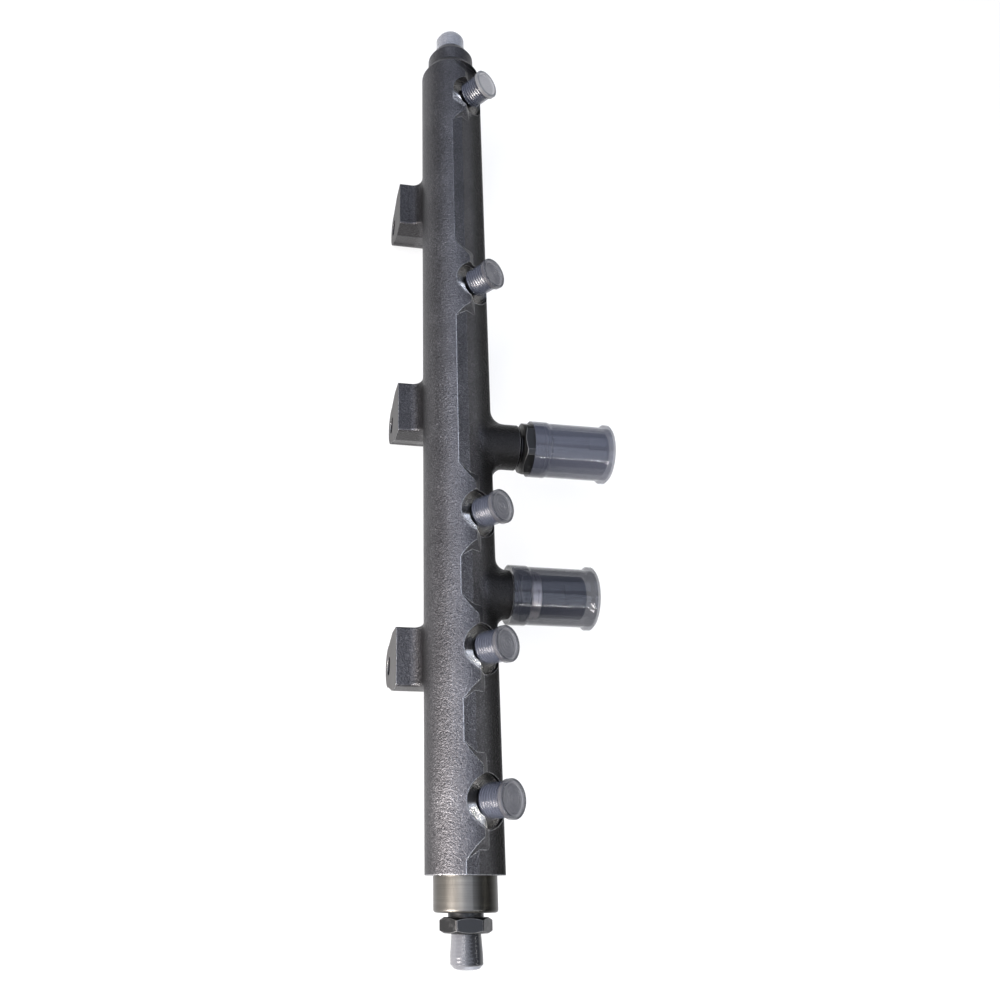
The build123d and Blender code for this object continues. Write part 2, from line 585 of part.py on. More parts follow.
with BuildPart() as sensor_plug:
    plug(SENSOR, SENSOR_RIM_END, SENSOR_PLUG_END, SENSOR_PLUG_R, SENSOR_ROOM_R - 0.1, BOARD_START + 5)
    pins(SENSOR, BOARD_START + 5, SENSOR_PLUG_END, SENSOR_PINS, Mode.SUBTRACT)
    low, high = SENSOR_RING_AT - O_RING_R, SENSOR_RING_AT + O_RING_R
    groove = SENSOR_ROOM_R - 2 * O_RING_R
    turned([(low, groove), (low, SENSOR_ROOM_R), (high, SENSOR_ROOM_R), (high, groove)],
           SENSOR, OUT, Mode.SUBTRACT)
export(sensor_plug, "sensor_plug")

with BuildPart() as sensor_pins:
    pins(SENSOR, BOARD_START + BOARD_THICK, SENSOR_PLUG_END - SOCKET_DEPTH + PIN_OUT, SENSOR_PINS)
export(sensor_pins, "sensor_pins")

with BuildPart() as sensor_o_ring:
    with BuildSketch(lengthwise(SENSOR, OUT)) as section:
        with Locations((SENSOR_RING_AT, SENSOR_ROOM_R - O_RING_R)):
            Circle(O_RING_R)
    revolve(axis=Axis(SENSOR, OUT))
export(sensor_o_ring, "sensor_o_ring")


# ---------------------------------------------------------------- pressure regulating device
REG = (AXIS_X + REGULATOR_BOSS_END, REGULATOR_Y, AXIS_Z)
REG_FLOOR = -DEVICE_BORE_DEPTH
REG_SPIGOT = REG_FLOOR + SEAL_THICK
REG_SEAT_END = REG_SPIGOT + REG_SEAT_LONG
BALL_AT = REG_SEAT_END + sqrt(2) * REG_BALL_R - REG_SEAT_HOLE_R - REG_SEAT_CONE + SEAT_LAP
STEM_START = BALL_AT + REG_BALL_R
REG_PINS = [(-PIN_SPREAD, 0), (PIN_SPREAD, 0)]
BOBBIN_INNER = REG_ARMATURE_R + REG_ARMATURE_GAP
BOBBIN_END = REG_HOUSING_END - 1.2
CORE_START = REG_ARMATURE_END + REG_STROKE
REG_RING_R = REG_PLUG_R - 1.6

with BuildPart() as regulator_body:
    hexagon(REG, OUT, REG_HEX_START, REG_HEX_END, REG_HEX_FLATS, REG_HEX_CORNER_R)
    r = thread_r(DEVICE_M)
    turned([(REG_SPIGOT, 0), (REG_SPIGOT, r - 1), (REG_SPIGOT + 1, r), (-1.0, r), (-0.4, NECK_R - 1.5),
            (REG_HEX_START + 1, NECK_R - 1.5), (REG_HEX_START + 1, 0)], REG, OUT)
    drilled(REG, OUT, REG_SPIGOT, REG_SEAT_END, REG_SEAT_R)
    drilled(REG, OUT, REG_SEAT_END, REG_SEAT_END + 2.5, REG_SEAT_R - 1)
    drilled(REG, OUT, REG_SEAT_END + 2.5, REG_BOBBIN_START, REG_STEM_R + REG_STEM_PLAY)
    drilled(REG, OUT, REG_BOBBIN_START, REG_HEX_END, REG_BOBBIN_R + 0.1)
export(regulator_body, "regulator_body")

with BuildPart() as regulator_housing:
    turned([(REG_HEX_END, REG_BOBBIN_R + 0.1), (REG_HEX_END, REG_HOUSING_R),
            (REG_HOUSING_END - 0.4, REG_HOUSING_R), (REG_HOUSING_END, REG_HOUSING_R - 0.4),
            (REG_HOUSING_END, REG_BOBBIN_R + 0.1)], REG, OUT)
export(regulator_housing, "regulator_housing")

with BuildPart() as regulator_seal:
    ring(REG, OUT, REG_FLOOR, REG_SPIGOT, DEVICE_DRILL_R + 1.5, thread_r(DEVICE_M) - SEAL_PLAY)
export(regulator_seal, "regulator_seal")

with BuildPart() as regulator_seat:
    turned([(REG_SPIGOT, 1.4), (REG_SPIGOT, REG_SEAT_R), (REG_SEAT_END, REG_SEAT_R),
            (REG_SEAT_END, REG_SEAT_HOLE_R + REG_SEAT_CONE),
            (REG_SEAT_END - REG_SEAT_CONE, REG_SEAT_HOLE_R),
            (REG_SPIGOT + 1.2, REG_SEAT_HOLE_R)], REG, OUT)
export(regulator_seat, "regulator_seat")

with BuildPart() as regulator_ball:
    with BuildSketch(lengthwise(REG, OUT)) as half:
        with Locations((BALL_AT, 0)):
            Circle(REG_BALL_R)
            Rectangle(3 * REG_BALL_R, 2 * REG_BALL_R, align=(Align.CENTER, Align.MAX), mode=Mode.SUBTRACT)
    revolve(axis=Axis(REG, OUT))
export(regulator_ball, "regulator_ball")

with BuildPart() as regulator_armature:
    turned([(STEM_START, 0), (STEM_START, REG_STEM_R), (REG_ARMATURE_START, REG_STEM_R),
            (REG_ARMATURE_START, REG_ARMATURE_R), (REG_ARMATURE_END, REG_ARMATURE_R),
            (REG_ARMATURE_END, 0)], REG, OUT)
    drilled(REG, OUT, REG_ARMATURE_END - REG_POCKET, REG_ARMATURE_END, REG_POCKET_R)
export(regulator_armature, "regulator_armature")

with BuildPart() as regulator_spring:
    coil_spring(REG, OUT, REG_ARMATURE_END - REG_POCKET, CORE_START, REG_POCKET_R - SPRING_PLAY - REG_WIRE,
                REG_WIRE, SPRING_TURNS)
export(regulator_spring, "regulator_spring")

with BuildPart() as regulator_bobbin:
    drum = BOBBIN_INNER + REG_BOBBIN_WALL
    low, high = REG_BOBBIN_START + REG_BOBBIN_FLANGE, BOBBIN_END - REG_BOBBIN_FLANGE
    turned([(REG_BOBBIN_START, BOBBIN_INNER), (REG_BOBBIN_START, REG_BOBBIN_R), (low, REG_BOBBIN_R),
            (low, drum), (high, drum), (high, REG_BOBBIN_R), (BOBBIN_END, REG_BOBBIN_R),
            (BOBBIN_END, BOBBIN_INNER)], REG, OUT)
export(regulator_bobbin, "regulator_bobbin")

with BuildPart() as regulator_winding:
    ring(REG, OUT, REG_BOBBIN_START + REG_BOBBIN_FLANGE, BOBBIN_END - REG_BOBBIN_FLANGE,
         BOBBIN_INNER + REG_BOBBIN_WALL, REG_WIRE_R)
export(regulator_winding, "regulator_winding")

with BuildPart() as regulator_core:
    turned([(CORE_START, 0), (CORE_START, BOBBIN_INNER), (BOBBIN_END, BOBBIN_INNER),
            (BOBBIN_END, REG_BOBBIN_R), (REG_HOUSING_END, REG_BOBBIN_R), (REG_HOUSING_END, 0)], REG, OUT)
export(regulator_core, "regulator_core")

with BuildPart() as regulator_plug:
    plug(REG, REG_HOUSING_END + 0.7, REG_PLUG_END, REG_PLUG_R, REG_PLUG_R + 0.6, REG_HOUSING_END)
    pins(REG, REG_HOUSING_END, REG_PLUG_END, REG_PINS, Mode.SUBTRACT)
    turned([(REG_HOUSING_END, REG_RING_R - O_RING_R), (REG_HOUSING_END, REG_RING_R + O_RING_R),
            (REG_HOUSING_END + 2 * O_RING_R, REG_RING_R + O_RING_R),
            (REG_HOUSING_END + 2 * O_RING_R, REG_RING_R - O_RING_R)], REG, OUT, Mode.SUBTRACT)
export(regulator_plug, "regulator_plug")

with BuildPart() as regulator_pins:
    pins(REG, REG_HOUSING_END, REG_PLUG_END - SOCKET_DEPTH + PIN_OUT, REG_PINS)
export(regulator_pins, "regulator_pins")

with BuildPart() as regulator_o_ring:
    with BuildSketch(lengthwise(REG, OUT)) as section:
        with Locations((REG_HOUSING_END + O_RING_R, REG_RING_R)):
            Circle(O_RING_R)
    revolve(axis=Axis(REG, OUT))
export(regulator_o_ring, "regulator_o_ring")
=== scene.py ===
import json
import math

import bpy
from mathutils import Matrix, Vector


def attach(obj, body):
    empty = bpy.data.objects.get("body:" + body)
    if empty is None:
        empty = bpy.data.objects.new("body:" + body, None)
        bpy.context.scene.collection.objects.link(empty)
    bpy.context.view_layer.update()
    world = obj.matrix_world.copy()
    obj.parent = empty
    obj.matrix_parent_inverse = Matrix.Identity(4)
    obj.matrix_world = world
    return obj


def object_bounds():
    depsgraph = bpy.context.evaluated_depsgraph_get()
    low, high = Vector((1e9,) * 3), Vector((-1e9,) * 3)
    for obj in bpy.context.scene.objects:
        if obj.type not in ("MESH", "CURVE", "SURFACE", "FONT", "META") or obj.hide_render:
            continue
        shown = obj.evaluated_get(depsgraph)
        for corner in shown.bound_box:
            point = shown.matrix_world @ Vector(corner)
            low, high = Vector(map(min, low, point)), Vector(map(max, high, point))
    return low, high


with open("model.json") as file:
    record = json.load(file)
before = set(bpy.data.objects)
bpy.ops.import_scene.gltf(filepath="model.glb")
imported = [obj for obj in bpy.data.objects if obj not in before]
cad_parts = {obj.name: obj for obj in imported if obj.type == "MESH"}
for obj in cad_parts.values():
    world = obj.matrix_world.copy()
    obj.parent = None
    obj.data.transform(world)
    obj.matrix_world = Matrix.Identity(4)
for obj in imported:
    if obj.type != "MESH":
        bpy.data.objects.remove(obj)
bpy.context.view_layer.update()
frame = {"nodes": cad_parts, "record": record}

# ---------------------------------------------------------------- sizes, metres
MM = 0.001
AXIS_X = 31.0 * MM            # milled lug faces to rail axis
AXIS_Z = 35.2 * MM            # bolt holes to rail axis
FORGING_BOTTOM = -241.2 * MM  # where the turned collar starts
COLLAR_END = -256.5 * MM      # where the valve's hexagon starts
PITCH = 140.0 * MM            # outlet to outlet
PORT_GRID = PITCH / 2         # every side nipple stands on a multiple of this
OUTLET_YS = [(1.5 - n) * PITCH for n in range(4)]
INLET_Y = -PITCH
PORT_YS = OUTLET_YS + [INLET_Y]
PORT_ANGLE = math.radians(55.0)
SPOT_FACE = 13.0 * MM         # rail axis to a spot face, along the nipple
SPOT_R = 12.5 * MM
NIPPLE_NECK_END = 16.0 * MM
NIPPLE_TIP = 28.6 * MM
TOP_CONE_END = 255.0 * MM
TOP_NECK_END = 256.6 * MM
TOP_TIP = 268.2 * MM
VALVE_NECK_END = 9.6 * MM     # from the collar's end
VALVE_TIP = 21.4 * MM

THREAD_PITCH = 1.5 * MM
NIPPLE_THREAD = 14.0 * MM     # outer diameters
VALVE_THREAD = 12.0 * MM
THREAD_DEPTH = 0.62 * THREAD_PITCH
CREST_HALF = 0.07 * THREAD_PITCH
ROOT_HALF = 0.46 * THREAD_PITCH
RUN_IN = 0.6 * MM             # length over which a thread rises at its start, and fades at its end
RUN_OUT = 0.9 * MM
THREAD_STEPS = 64
SHARP_EDGE = math.radians(25)

RAIL = Vector((AXIS_X, 0, AXIS_Z))
PORT = Vector((math.cos(PORT_ANGLE), 0, math.sin(PORT_ANGLE)))
UP, DOWN = Vector((0, 1, 0)), Vector((0, -1, 0))

nodes = frame["nodes"]
MAIN = "rail"

# ---------------------------------------------------------------- where a finish starts and is full
SPOT_RIM = (SPOT_R - 0.06 * MM, SPOT_R - 0.02 * MM)                     # off a nipple's axis
NECK_SIDE = (5.9 * MM, 6.1 * MM)
# the painted highlight beside a spot face fades out here
HIGHLIGHT_RIM = (SPOT_R + 0.9 * MM, SPOT_R + 2.0 * MM)
DISC_RIM = (7.2 * MM, 7.6 * MM)
SPOT_FLOOR = (SPOT_FACE - 0.1 * MM, SPOT_FACE - 0.04 * MM)              # along a nipple
NECK_ROOT = (SPOT_FACE - 0.2 * MM, SPOT_FACE)
# where the painted highlight beside a spot face starts
HIGHLIGHT_FOOT = (SPOT_FACE + 0.1 * MM, SPOT_FACE + 0.5 * MM)
CAP_CLOSED = (NIPPLE_TIP - 0.6 * MM, NIPPLE_TIP - 0.2 * MM)
# the side of a nipple where the painted highlights lie
HIGHLIGHT_TURN = (0.62, 0.97)                                                # round a nipple, 1 at its lower left
COLLAR_START = (FORGING_BOTTOM - 0.1 * MM, FORGING_BOTTOM - 0.02 * MM)  # along the rail
TOP_NECK_START = (TOP_CONE_END - 0.1 * MM, TOP_CONE_END + 0.1 * MM)
TOP_EDGE = (232.0 * MM, 236.0 * MM)
TOP_NIPPLE = (150.0 * MM, 190.0 * MM)
UPPER_THIRD = (60.0 * MM, 110.0 * MM)
LOWER_THIRD = (60.0 * MM, 90.0 * MM)                                    # the same downwards
TOP_CAP_CLOSED = (TOP_TIP - 0.6 * MM, TOP_TIP)
VALVE_CAP_CLOSED = (COLLAR_END - VALVE_TIP, COLLAR_END - VALVE_TIP + 0.6 * MM)
LUG_MILLED = (0.05 * MM, 0.12 * MM)                                     # out from the lug faces
BOSS_TURNED = (31.9 * MM, 32.1 * MM)                                    # out from the rail axis
# painted shade on the flank and on the lugs
FLANK_SHADE_PAINT = (5.5 * MM, 14.0 * MM)
LUGS_SHADE_PAINT = (-19.0 * MM, -15.0 * MM)
# painted shade on the right side of the collar and boss faces
COLLAR_SHADE_PAINT = (-4.0 * MM, 7.0 * MM)
# painted highlight on the left side of the lower caps
CAP_HIGHLIGHT_SIDE = (-4.0 * MM, 0.5 * MM)
# edges painted bright, partly rubbed wear and partly painted highlight
WORN_AND_LIT_TURN = (0.002, 0.016)                                              # how far rounding turns the surface
# edges painted grey, partly rubbed wear and partly painted highlight
RUBBED_AND_LIT_TURN = (0.004, 0.03)
# specks of the painted highlight beside a spot face
HIGHLIGHT_SPECKS = (0.36, 0.6)                                               # in a noise
SCUFF_SPECKS = (0.6, 0.74)
OXIDE_PATCHES = (0.55, 0.75)
BOARD_TRACKS = (0.5, 0.53)
CREST_TOP = (0.3, 0.95)                                                 # in a wave
NOISE_SPREAD = (0.3, 0.7)                                               # what a noise mostly stays within
WIDE_SPREAD = (0.2, 0.8)

# ---------------------------------------------------------------- colours
BLASTED = [(0.3, (0.028, 0.027, 0.028)), (0.47, (0.07, 0.068, 0.071)), (0.58, (0.1, 0.098, 0.102)),
           (0.72, (0.24, 0.235, 0.24))]
SCUFFED = (0.17, 0.168, 0.172)
# painted shade, near black, laid on the flank and the lugs
PAINTED_SHADE_COLOUR = (0.007, 0.0065, 0.0058)
# edges painted bright, partly rubbed wear and partly painted highlight
WORN_AND_LIT_EDGE = (0.46, 0.46, 0.465)
# painted highlight beside a spot face
SPOT_SIDE_HIGHLIGHT = (0.5, 0.49, 0.48)
SATIN = ((0.07, 0.066, 0.058), (0.13, 0.124, 0.112))
# painted shade for the right side of the turned collar and boss faces
SATIN_SHADE_PAINT = (0.012, 0.0115, 0.009)
MILLED = ((0.06, 0.059, 0.058), (0.14, 0.138, 0.135))
FACED = ((0.16, 0.155, 0.15), (0.3, 0.29, 0.28))
# painted highlight on the lower left of each spot face
FACED_HIGHLIGHT = (0.85, 0.84, 0.82)
# painted shade: the necks in the gap under the caps painted near black
TOP_NECK_SHADE_PAINT = (0.03, 0.029, 0.028)
NECK_SHADE_PAINT = (0.012, 0.012, 0.012)
BLACK_OXIDE = (0.018, 0.018, 0.018)
# grey of rubbed patches and of the edges, which are partly painted highlight
RUBBED_AND_LIT_OXIDE = (0.15, 0.148, 0.145)
COPPER = ((0.35, 0.11, 0.04), (0.62, 0.24, 0.1))
BOARD = ((0.01, 0.09, 0.035), (0.03, 0.2, 0.08))
CLEAR_TINT = (0.05, 0.055, 0.072)
MILKY_TINT = (0.3, 0.305, 0.325)
SMOKE_TINT = (0.095, 0.1, 0.125)
MILKY_END = (0.24, 0.25, 0.27)
DISC = (0.15, 0.145, 0.148)   # closed end of a side nipple's cap
DISC_EDGE = (0.06, 0.06, 0.065)
# painted light: the top nipple's cap end and rim lighter than the others
TOP_DISC_PAINTED_LIGHT = (0.37, 0.355, 0.34)
TOP_DISC_EDGE_PAINTED_LIGHT = (0.17, 0.17, 0.17)


# ---------------------------------------------------------------- shader writing
class Value:
    """A shader socket that takes part in written sums."""

    def __init__(self, paint, socket):
        self.paint, self.socket = paint, socket

    def math(self, operation, *terms):
        return self.paint.node("ShaderNodeMath", {"operation": operation}, dict(enumerate(terms)))

    def __add__(self, other):
        return self.math("ADD", self, other)

    def __radd__(self, other):
        return self.math("ADD", other, self)

    def __sub__(self, other):
        return self.math("SUBTRACT", self, other)

    def __rsub__(self, other):
        return self.math("SUBTRACT", other, self)

    def __mul__(self, other):
        return self.math("MULTIPLY", self, other)

    def __rmul__(self, other):
        return self.math("MULTIPLY", other, self)

    def __truediv__(self, other):
        return self.math("DIVIDE", self, other)

    def __rtruediv__(self, other):
        return self.math("DIVIDE", other, self)

    def __neg__(self):
        return self.math("MULTIPLY", self, -1.0)

    def abs(self):
        return self.math("ABSOLUTE", self)

    def root(self):
        return self.math("SQRT", self)

    def sine(self):
        return self.math("SINE", self)

    def least(self, other):
        return self.math("MINIMUM", self, other)

    def most(self, other):
        return self.math("MAXIMUM", self, other)


class Paint:
    """A material under construction."""

    def __init__(self, name):
        self.material = bpy.data.materials.new(name)
        self.material.use_nodes = True
        self.tree = self.material.node_tree
        self.tree.nodes.clear()
        self.sheet = self.tree.nodes.new("ShaderNodeOutputMaterial")
        self.place = self.node("ShaderNodeTexCoord", {}, {}, "Object")

    def node(self, kind, settings, inputs, output=0):
        """Any node: its settings first, then values or links on its sockets; gives one of its outputs."""
        made = self.tree.nodes.new(kind)
        for key, setting in settings.items():
            if key == "stops":
                ramp = made.color_ramp
                while len(ramp.elements) < len(setting):
                    ramp.elements.new(1.0)
                for stop, (at, shade) in zip(ramp.elements, setting):
                    stop.position = at
                    stop.color = rgba(shade)
            else:
                setattr(made, key, setting)
        for key, given in inputs.items():
            socket = made.inputs[key]
            if isinstance(given, Value):
                self.tree.links.new(given.socket, socket)
            else:
                socket.default_value = given
        return Value(self, made.outputs[output])

    def axis(self, which):
        """0, 1 or 2 for the place across, along and above."""
        return self.node("ShaderNodeSeparateXYZ", {}, {0: self.place}, which)

    def stretch(self, factors):
        return self.node("ShaderNodeMapping", {}, {"Vector": self.place, "Scale": factors})

    def noise(self, scale, detail=2.0, rough=0.5, place=None):
        return self.node("ShaderNodeTexNoise", {}, {
            "Vector": place or self.place, "Scale": scale, "Detail": detail, "Roughness": rough})

    def step(self, value, low, high):
        """0 below low, 1 above high, smooth between."""
        return self.node("ShaderNodeMapRange", {"interpolation_type": "SMOOTHSTEP"}, {
            "Value": value, "From Min": low, "From Max": high, "To Min": 0.0, "To Max": 1.0})

    def span(self, value, low, high, new_low, new_high):
        """new_low at low, new_high at high, straight between."""
        return self.node("ShaderNodeMapRange", {}, {
            "Value": value, "From Min": low, "From Max": high, "To Min": new_low, "To Max": new_high})

    def waves(self, value, length):
        return (value * (2 * math.pi / length)).sine()

    def mix(self, factor, a, b):
        """Colour a at 0, colour b at 1."""
        return self.node("ShaderNodeMix", {"data_type": "RGBA"}, {
            "Factor": factor, 6: rgba(a), 7: rgba(b)}, 2)

    def bump(self, height, depth, strength, under=None):
        inputs = {"Height": height, "Distance": depth, "Strength": strength}
        if under is not None:
            inputs["Normal"] = under
        return self.node("ShaderNodeBump", {}, inputs)

    def rounded(self, radius):
        """Normal as if the hard edges had this radius, and how far it leaves the plain one."""
        soft = self.node("ShaderNodeBevel", {"samples": 6}, {"Radius": radius})
        plain = self.node("ShaderNodeNewGeometry", {}, {}, "Normal")
        agree = self.node("ShaderNodeVectorMath", {"operation": "DOT_PRODUCT"}, {0: soft, 1: plain}, "Value")
        return soft, 1 - agree

    def lean(self, normal, amount, way):
        """Normal leaned over in one direction by a varying slope."""
        push = self.node("ShaderNodeVectorMath", {"operation": "SCALE"}, {0: way, "Scale": amount})
        total = self.node("ShaderNodeVectorMath", {"operation": "ADD"}, {0: normal, 1: push})
        return self.node("ShaderNodeVectorMath", {"operation": "NORMALIZE"}, {0: total})

    def shader(self, **inputs):
        """The surface's own shader, its sockets named with underscores for spaces."""
        named = {key.replace("_", " "): rgba(given) if key.endswith("Color") else given
                 for key, given in inputs.items()}
        return self.node("ShaderNodeBsdfPrincipled", {}, named)

    def done(self, surface):
        self.tree.links.new(surface.socket, self.sheet.inputs["Surface"])
        return self.material


def rgba(shade):
    return shade if isinstance(shade, Value) or len(shade) == 4 else (*shade, 1.0)


def times(shade, share):
    return tuple(share * part for part in shade)


# ---------------------------------------------------------------- finishes
def nearest_nipple(p):
    """Place along the side nipples, distance off the nearest one, and how far round to its lower left."""
    lower, left = 0.8, 0.6
    y = p.axis(1)
    out, high = p.axis(0) - AXIS_X, p.axis(2) - AXIS_Z
    rise = out * PORT.x + high * PORT.z
    side = high * PORT.x - out * PORT.z
    along = (y - PORT_YS[0]).abs()
    for port_y in PORT_YS[1:]:
        along = along.least((y - port_y).abs())
    off = (side * side + along * along).root()
    below = -p.node("ShaderNodeMath", {"operation": "WRAP"}, {0: y, 1: PORT_GRID / 2, 2: -PORT_GRID / 2})
    return rise, off, (below * lower + side * left) / off


def forged_steel():
    """Shot-blasted forging with painted shade on its flank and lugs, with its turned ends, spot faces,
    nipples and milled lug faces.
    """
    p = Paint("forged_steel")
    x, y = p.axis(0), p.axis(1)
    out = x - AXIS_X
    rise, off, corner = nearest_nipple(p)
    blotch = p.noise(scale=45.0, detail=3.0, rough=0.55)
    grain = p.noise(scale=1500.0, detail=1.5, rough=0.6)
    peel = p.noise(scale=800.0, detail=2.0, rough=0.55)
    turning = p.noise(scale=1100.0, detail=2.0, rough=0.6, place=p.stretch((0.03, 1.0, 0.03)))
    milling = p.noise(scale=700.0, detail=2.0, rough=0.5, place=p.stretch((1.0, 0.08, 1.0)))
    facing = p.noise(scale=300.0, detail=3.0, rough=0.6)
    scratches = p.noise(scale=120.0, detail=4.0, rough=0.75, place=p.stretch((1.0, 0.45, 1.0)))
    soft, turn = p.rounded(radius=0.6 * MM)

    # machined faces
    spot = (1 - p.step(off, *SPOT_RIM)) * p.step(rise, *SPOT_FLOOR)
    neck = (1 - p.step(off, *NECK_SIDE)) * p.step(rise, *NECK_ROOT)
    lug_face = 1 - p.step(x, *LUG_MILLED)
    collar = 1 - p.step(y, *COLLAR_START)
    top_neck = p.step(y, *TOP_NECK_START)
    boss_face = p.step(out, *BOSS_TURNED)
    cut = spot.most(lug_face).most(collar).most(boss_face)

    # edges painted bright, partly rubbed wear and partly painted highlight, and a ragged painted highlight
    # beside each spot face on its lower left, wider at the top nipple
    rag, top_reach = 1.6 * MM, 2.5 * MM
    worn_and_lit = p.step(turn, *WORN_AND_LIT_TURN) * (1 - cut) * (1 - p.step(y, *TOP_EDGE))
    lit_lower_left = p.step(corner, *HIGHLIGHT_TURN)
    ragged = off + peel * rag - p.step(y, *TOP_NIPPLE) * top_reach
    spot_side_highlight = lit_lower_left * p.step(rise, *HIGHLIGHT_FOOT) * (1 - p.step(ragged, *HIGHLIGHT_RIM)) * (1 - neck)
    spot_side_highlight = spot_side_highlight * p.step(peel, *HIGHLIGHT_SPECKS)

    # how much of each shows: bright edges less in the upper third, painted shade darkest on the flank and
    # lighter on the lugs
    worn_and_lit_share = 0.75 - p.step(y, *UPPER_THIRD) * 0.5
    highlight_share, scuff_share, shade_share = 0.7, 0.4, 0.7
    flank_share, lug_share = 0.9, 0.45
    flank_shade_paint = p.step(out, *FLANK_SHADE_PAINT) * flank_share
    lug_shade_paint = (1 - p.step(out, *LUGS_SHADE_PAINT)) * lug_share
    scuffs = p.step(scratches, *SCUFF_SPECKS) * scuff_share
    collar_shade_paint = p.step(out, *COLLAR_SHADE_PAINT) * shade_share

    colour = p.node("ShaderNodeValToRGB", {"stops": BLASTED}, {0: blotch * 0.2 + grain * 0.55 + peel * 0.25})
    colour = p.mix(scuffs, colour, SCUFFED)
    # painted shade: the flank and the lugs darkened nearly to black
    colour = p.mix(flank_shade_paint.most(lug_shade_paint), colour, PAINTED_SHADE_COLOUR)
    # edges: partly rubbed wear, partly painted highlight, fewer in the upper third
    colour = p.mix(worn_and_lit * worn_and_lit_share, colour, WORN_AND_LIT_EDGE)
    # painted highlight: a ragged bright crescent beside each spot face
    colour = p.mix(spot_side_highlight * highlight_share, colour, SPOT_SIDE_HIGHLIGHT)
    # turned collar and boss faces, satin, their right side darkened by painted shade
    colour = p.mix(collar.most(boss_face), colour, p.mix(collar_shade_paint, p.mix(turning, *SATIN), SATIN_SHADE_PAINT))
    # painted shade on the top nipple's neck under its cap
    colour = p.mix(top_neck, colour, TOP_NECK_SHADE_PAINT)
    colour = p.mix(lug_face, colour, p.mix(milling, *MILLED))
    # spot faces, their lower left painted bright as a painted highlight
    colour = p.mix(spot, colour, p.mix(lit_lower_left, p.mix(facing, *FACED), FACED_HIGHLIGHT))
    # painted shade on each side nipple's neck under its cap
    colour = p.mix(neck, colour, NECK_SHADE_PAINT)

    rough_low, rough_high, polish = 0.34, 0.5, 0.3
    cut_rough, collar_more, lug_more = 0.27, 0.09, 0.4
    rough = p.span(grain, *NOISE_SPREAD, rough_low, rough_high) * (1 - cut) * (1 - worn_and_lit * polish)
    rough = rough + cut * cut_rough + collar * collar_more + lug_face * lug_more
    blast_depth, turning_depth, facing_depth = 0.3 * MM, 0.012 * MM, 0.03 * MM
    height = (grain + peel * 0.9) * (1 - cut) * blast_depth + turning * collar * turning_depth
    height = height + p.waves(off, length=0.42 * MM) * spot * facing_depth

    # the lower left of a spot face catches the light like the turned edge of a counterbore
    slope, lower_left = 0.8, (-0.579, -0.707, 0.406)
    leaned = p.lean(soft, lit_lower_left * spot * slope, lower_left)
    surface = p.shader(Base_Color=colour, Metallic=cut.most(0.9), Roughness=rough,
                       Normal=p.bump(height, depth=1.0, strength=1.0, under=leaned))
    return p.done(surface)


def black_steel():
    """Black oxide on turned and milled steel, rubbed grey in patches, and grey along its edges, partly rubbed
    wear and partly painted highlight.
    """
    p = Paint("black_steel")
    grain = p.noise(scale=500.0, detail=3.0, rough=0.6)
    soft, turn = p.rounded(radius=0.5 * MM)
    patches = p.step(p.noise(scale=150.0, detail=4.0, rough=0.7), *OXIDE_PATCHES) * 0.5
    rubbed_and_lit = patches.most(p.step(turn, *RUBBED_AND_LIT_TURN))
    surface = p.shader(Base_Color=p.mix(rubbed_and_lit, BLACK_OXIDE, RUBBED_AND_LIT_OXIDE), Metallic=0.8,
                       Roughness=p.span(grain, *NOISE_SPREAD, 0.3, 0.46),
                       Normal=p.bump(grain, depth=0.03 * MM, strength=0.6, under=soft))
    return p.done(surface)


def turned_steel(name, dark, light, rough):
    """Bare or plated metal with the fine marks of turning, between two shades."""
    p = Paint(name)
    turning = p.noise(scale=1400.0, detail=2.0, rough=0.6, place=p.stretch((1.0, 0.03, 0.03)))
    surface = p.shader(Base_Color=p.mix(turning, dark, light), Metallic=0.95,
                       Roughness=p.span(turning, *WIDE_SPREAD, rough - 0.06, rough + 0.08),
                       Normal=p.bump(turning, depth=0.02 * MM, strength=0.5))
    return p.done(surface)


